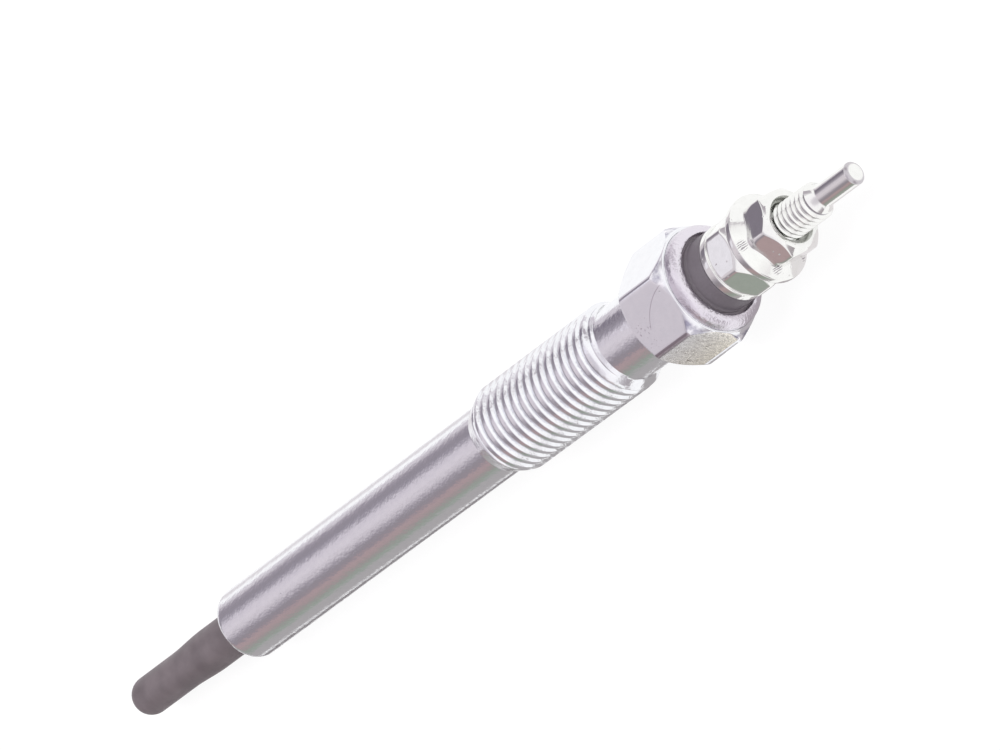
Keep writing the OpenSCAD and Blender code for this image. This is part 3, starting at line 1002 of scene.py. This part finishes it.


# %% [markdown]
# ## The rod's finish
# The rod is plated in plain silver. The roots of its thread are painted darker grey and duller, as painted
# shade, and the tool that parted it off left the rim of its end dull.

# %% Rod finish
sparse_pits = 1.3
rod_finish, tree, shader, place = bright_zinc(
    "bright_zinc_plated_steel_rod", silver_zinc, 0.06, 0.12, sparse_pits,
)
finish_pieces(rod_finish, [rod], ["terminal_rod"])
# painted shade: darker grey and duller in the roots of the stud's thread
shade_roots(tree, shader, place, stud_low, stud_high - stud_run, stud_root)
rim = ring(
    tree, place, pilot_high - pilot_chamfer, pilot_high + past, 0.1,
    pilot_r - pilot_chamfer, pilot_r + past, 0.2,
)
lay_over(tree, shader, rim, linear("#c9c5c9"), dull)
print("rod finish with", len(tree.nodes), "nodes")

# %% [markdown]
# ## The body's finish
# The body's plating has a lilac cast. A slow waviness from the turning and a finer peel from the plating
# make the bands of its round parts wander. The roots of its thread get the same painted shade as the rod's.

# %% Body finish
wave_mm = 1.8
wave_depth = 0.03
peel_mm = 0.5
peel_depth = 0.03
body_finish, tree, shader, place = bright_zinc(
    "bright_zinc_plated_steel_turned", lilac_zinc, 0.08, 0.15, sparse_pits,
)
finish_pieces(body_finish, [body], ["housing"])
station, across, height = add_node(tree, "ShaderNodeSeparateXYZ", {}, {0: place}).outputs
turned = within(tree, station, 0, hex_low, 0.1)
for size, detail, depth in ((wave_mm, 2.0, wave_depth), (peel_mm, 3.0, peel_depth)):
    ripple = add_node(tree, "ShaderNodeTexNoise", {}, {
        "Vector": place, "Scale": 1 / size, "Detail": detail,
    })
    roughen(tree, shader, both(tree, ripple.outputs["Fac"], turned), depth)
# painted shade: darker grey and duller in the roots of the body's thread
shade_roots(tree, shader, place, thread_start + thread_lead_in, thread_end - thread_run_out, thread_root)
print("body finish with", len(tree.nodes), "nodes so far")

# %% [markdown]
# ## The coarse flat
# One flat of the hexagon kept the coarse skin of the bar it was cut from, so its plating is yellowish and
# granular. One noise gives the skin its shades. Another gives it grains, which glint because they are as
# glossy as the rest. The skin stops short of the flat's lower corner.

# %% Coarse flat
coarse_turn = 60
coarse_end = 2.6
coarse_ease = 0.05
skin_mm = 0.6
granule_mm = 0.45
granule_depth = 0.17
outward = reach_towards(tree, place, coarse_turn)
downward = reach_towards(tree, place, coarse_turn + 90)
coarse_flat = both(
    tree, within(tree, outward, hex_r - 0.05, hex_r + past, coarse_ease),
    within(tree, downward, -hex_flats, coarse_end, coarse_ease),
)
skin = add_node(tree, "ShaderNodeTexNoise", {}, {
    "Vector": place, "Scale": 1 / skin_mm, "Detail": 6.0, "Roughness": 0.75,
})
skin_shade = add_node(tree, "ShaderNodeValToRGB", {}, {"Fac": skin.outputs["Fac"]})
set_stops(skin_shade, [(0.36, "#9c9793"), (0.42, "#f8f7f5"), (0.5, "#ffffff")])
yellowed = add_node(tree, "ShaderNodeMapRange", {}, {"Value": downward, "From Min": -3, "From Max": 3})
skin_tint = add_node(tree, "ShaderNodeMix", {"data_type": "RGBA"}, {
    "Factor": yellowed.outputs[0], 6: linear("#f8f7f8"), 7: linear("#fbf5e6"),
})
skin_colour = add_node(tree, "ShaderNodeMix", {"data_type": "RGBA", "blend_type": "MULTIPLY"}, {
    "Factor": 1.0, 6: skin_shade.outputs["Color"], 7: skin_tint.outputs[2],
})
granules = add_node(tree, "ShaderNodeTexNoise", {}, {
    "Vector": place, "Scale": 1 / granule_mm, "Detail": 5.0, "Roughness": 0.65,
})
lay_over(tree, shader, coarse_flat, skin_colour.outputs[2], 0.1, granules.outputs["Fac"], granule_depth)
print(f"coarse flat {coarse_turn} degrees from the top")

# %% [markdown]
# ## The crimped collar
# The crimping tool left the collar satin and grainy, and smeared the chamfer beside it near the corners. On
# the chamfer's cone, the station plus the radius times the cone's slope is the same everywhere.

# %% Crimped collar
satin_mm = 0.35
satin_depth = 0.1
smear_mm = 1.1
smear_depth = 0.01
satin = add_node(tree, "ShaderNodeTexNoise", {}, {
    "Vector": place, "Scale": 1 / satin_mm, "Detail": 4.0,
}).outputs["Fac"]
crimped = within(tree, station, hex_high + 0.1, collar_top + 0.1, 0.1)
lay_over(tree, shader, crimped, linear("#e4dfe7"), 0.18, satin, satin_depth)

chamfer_slope = high_chamfer / (hex_corner - hex_r)
cone_height = hex_high + hex_r * chamfer_slope
radius = distance_from_axis(tree, place)
cone = add_node(tree, "ShaderNodeMath", {"operation": "MULTIPLY_ADD"}, {
    0: radius, 1: chamfer_slope, 2: station,
}).outputs[0]
chamfer = both(
    tree, within(tree, cone, cone_height - 0.08, cone_height + 0.3, 0.05),
    within(tree, radius, hex_r + 0.3, hex_corner + past, 0.25),
)
smear = add_node(tree, "ShaderNodeTexNoise", {}, {
    "Vector": place, "Scale": 1 / smear_mm, "Detail": 4.0,
})
smear_colour = add_node(tree, "ShaderNodeValToRGB", {}, {"Fac": smear.outputs["Fac"]})
set_stops(smear_colour, [(0.38, "#a8a6b7"), (0.62, "#fbfafd")])
lay_over(tree, shader, chamfer, smear_colour.outputs["Color"], 0.25, satin, smear_depth)
print("satin collar and smeared chamfer")

# %% [markdown]
# ## A dark corner and spanner marks
# The rounded corner between the flat on top and the coarse one is painted darker: a painted dark reflection
# along that edge. On the top flat a spanner left a long curved scratch and a few scuffs. The scratch is part
# of a circle, and the scuffs are the peaks of a noise round one spot.

# %% Dark corner and spanner marks
corner_turn = 30
dark_corner_depth = 0.02
# painted dark reflection along the rounded corner between the top flat and the coarse one
dark_corner = both(
    tree, within(tree, reach_towards(tree, place, corner_turn), hex_corner - 0.07, hex_corner + past, 0.05),
    within(tree, station, hex_low + 0.5, hex_high - 1.1, 0.3),
)
lay_over(tree, shader, dark_corner, linear("#bab2b8"), dull, satin, dark_corner_depth)

scratch_centre = (104.9, -4.1, 0)
scratch_r = 6.42
scratch_w = 0.04
scuffed_spot = (98.6, -1.0, 0)
scuffed_r = 1.0
chip_mm = 0.35
mark_depth = 0.005
level = add_node(tree, "ShaderNodeVectorMath", {"operation": "MULTIPLY"}, {
    0: place, 1: (1, 1, 0),
}).outputs[0]
curve = shell(tree, level, scratch_centre, scratch_r - scratch_w / 2, scratch_r + scratch_w / 2, 0.03)
scratch = both(tree, curve, within(tree, across, -0.7, 2.1, 0.2))
chips = add_node(tree, "ShaderNodeTexNoise", {}, {"Vector": place, "Scale": 1 / chip_mm, "Detail": 3.0})
peaks = within(tree, chips.outputs["Fac"], 0.67, 1.0, 0.06)
scuffs = both(tree, shell(tree, level, scuffed_spot, 0, scuffed_r, 1.2), peaks)
either = add_node(tree, "ShaderNodeMath", {"operation": "MAXIMUM"}, {0: scratch, 1: scuffs})
marks = both(tree, within(tree, height, hex_r - 0.04, hex_r + past, 0.04), either.outputs[0])
lay_over(tree, shader, marks, linear("#cbc5cc"), dull, marks, -mark_depth)
print("body finish with", len(tree.nodes), "nodes")

# %% [markdown]
# ## Marks on the nuts
# The nuts are plated like the rod, with more specks. The countersink round the stud is painted greenish
# grey, a painted reflection. A socket has slipped on the terminal nut, so its flange is scored with short
# dark lines at the feet of three corners.

# %% Nut finish
close_pits = 0.55
nut_finish, tree, shader, place = bright_zinc(
    "bright_zinc_plated_steel_nuts", silver_zinc, 0.06, 0.12, close_pits,
)
finish_pieces(nut_finish, [clamp, terminal], ["clamp_nut", "terminal_nut"])
# painted reflection: the countersink round the stud is painted greenish grey
countersink_reflection = ring(
    tree, place, terminal_high - countersink, terminal_high + past, 0.1,
    0, nut_hole_r + countersink - 0.05, 0.05,
)
lay_over(tree, shader, countersink_reflection, linear("#c9cbc6"), dull)
print("nut finish with", len(tree.nodes), "nodes so far")

# %% Scored flange
score_spacing = 0.22
score_r = 0.35
score_depth = 0.002
# angle from the top towards the far side in degrees, and distance from the axis
scored_spots = [(8, 4.22), (-56, 3.85), (-122, 4.02)]
scored = 0.0
for degrees, r in scored_spots:
    turn = math.radians(degrees)
    spot = (rim_high + slope * (flange_r - r), r * math.sin(turn), r * math.cos(turn))
    near = shell(tree, place, spot, 0, score_r, score_r)
    scored = add_node(tree, "ShaderNodeMath", {"operation": "MAXIMUM"}, {0: scored, 1: near}).outputs[0]
# at a Scale of 1 the wave texture has a band every pi / 10
lines = add_node(tree, "ShaderNodeTexWave", {"bands_direction": "Y"}, {
    "Vector": place, "Scale": math.pi / 10 / score_spacing,
    "Distortion": 5.0, "Detail": 3.0, "Detail Scale": 2.0,
})
scores = both(tree, scored, within(tree, lines.outputs["Fac"], 0.85, 2.0, 0.5))
lay_over(tree, shader, scores, linear("#a19ba1"), dull, scores, -score_depth)
print("nut finish with", len(tree.nodes), "nodes")

# %% [markdown]
# ## Oxidised nickel alloy
# The heater's tube is drawn and swaged from a heat-proof nickel alloy and has been annealed. Its thin
# oxide is a dull mauve grey with hardly any shine.

# %% Oxidised nickel alloy
oxide_mm = 2.5
tube_finish, tree, shader, place = start_finish("oxidised_nickel_alloy_swaged", metallic=0.2, roughness=0.5)
mottle(tree, shader, place, oxide_mm, 4.0, ("#564f52", "#857c7f"))
finish_pieces(tube_finish, [tube], ["heater_sheath"])
print("tube finish with", len(tree.nodes), "nodes")

# %% [markdown]
# ## Moulded insulator
# The bush is a glass-filled phenolic moulding: dark, matt, and slightly grainy from the glass. In the narrow
# gap between its neck and the crimped lip it is painted paler: painted light that lifts the shade there.

# %% Moulded insulator
glass_mm = 0.25
glass_depth = 0.01
# painted light: how high the paler band in the shaded gap under the lip reaches, and how softly it ends
gap_light_top = collar_top - 0.35
gap_light_ease = 0.6
bush_finish, tree, shader, place = start_finish("phenolic_resin_moulded")
glass = mottle(tree, shader, place, glass_mm, 3.0, ("#5d575d", "#6f696f"))
gloss = add_node(tree, "ShaderNodeMapRange", {}, {"Value": glass, "To Min": 0.4, "To Max": 0.6})
tree.links.new(gloss.outputs[0], shader.inputs["Roughness"])
roughen(tree, shader, glass, glass_depth)
station = add_node(tree, "ShaderNodeSeparateXYZ", {}, {0: place}).outputs[0]
# painted light: the bush is paler where it sits in the shaded gap under the crimped lip
lay_over(tree, shader, within(tree, station, recess_low, gap_light_top, gap_light_ease), linear("#b4adb3"), 0.9)
finish_pieces(bush_finish, [bush], ["insulating_bush"])
print("bush finish with", len(tree.nodes), "nodes")

# %% [markdown]
# ## Inner materials
# Inside, hidden from view, are the rubber seals, the pressed magnesia and the resistance wires. Each gets
# two close shades in a fine grain.

# %% Inner materials
plain_finishes = [
    ("fluoro_rubber_moulded", ["sheath_seal", "body_seal_ring"], ("#3a2522", "#4a2f2b"), 0.0, 0.6),
    ("magnesia_powder_pressed", ["magnesia_filling"], ("#e4e0d8", "#f2efe9"), 0.0, 0.9),
    ("resistance_wire_drawn", ["heating_coil", "control_coil"], ("#8f877c", "#a59c90"), 1.0, 0.35),
]
for name, nodes, shades, metallic, roughness in plain_finishes:
    material, tree, shader, place = start_finish(name, metallic, roughness)
    mottle(tree, shader, place, grain_mm, 3.0, shades)
    finish_pieces(material, [], nodes)
print(f"{len(plain_finishes)} inner materials")
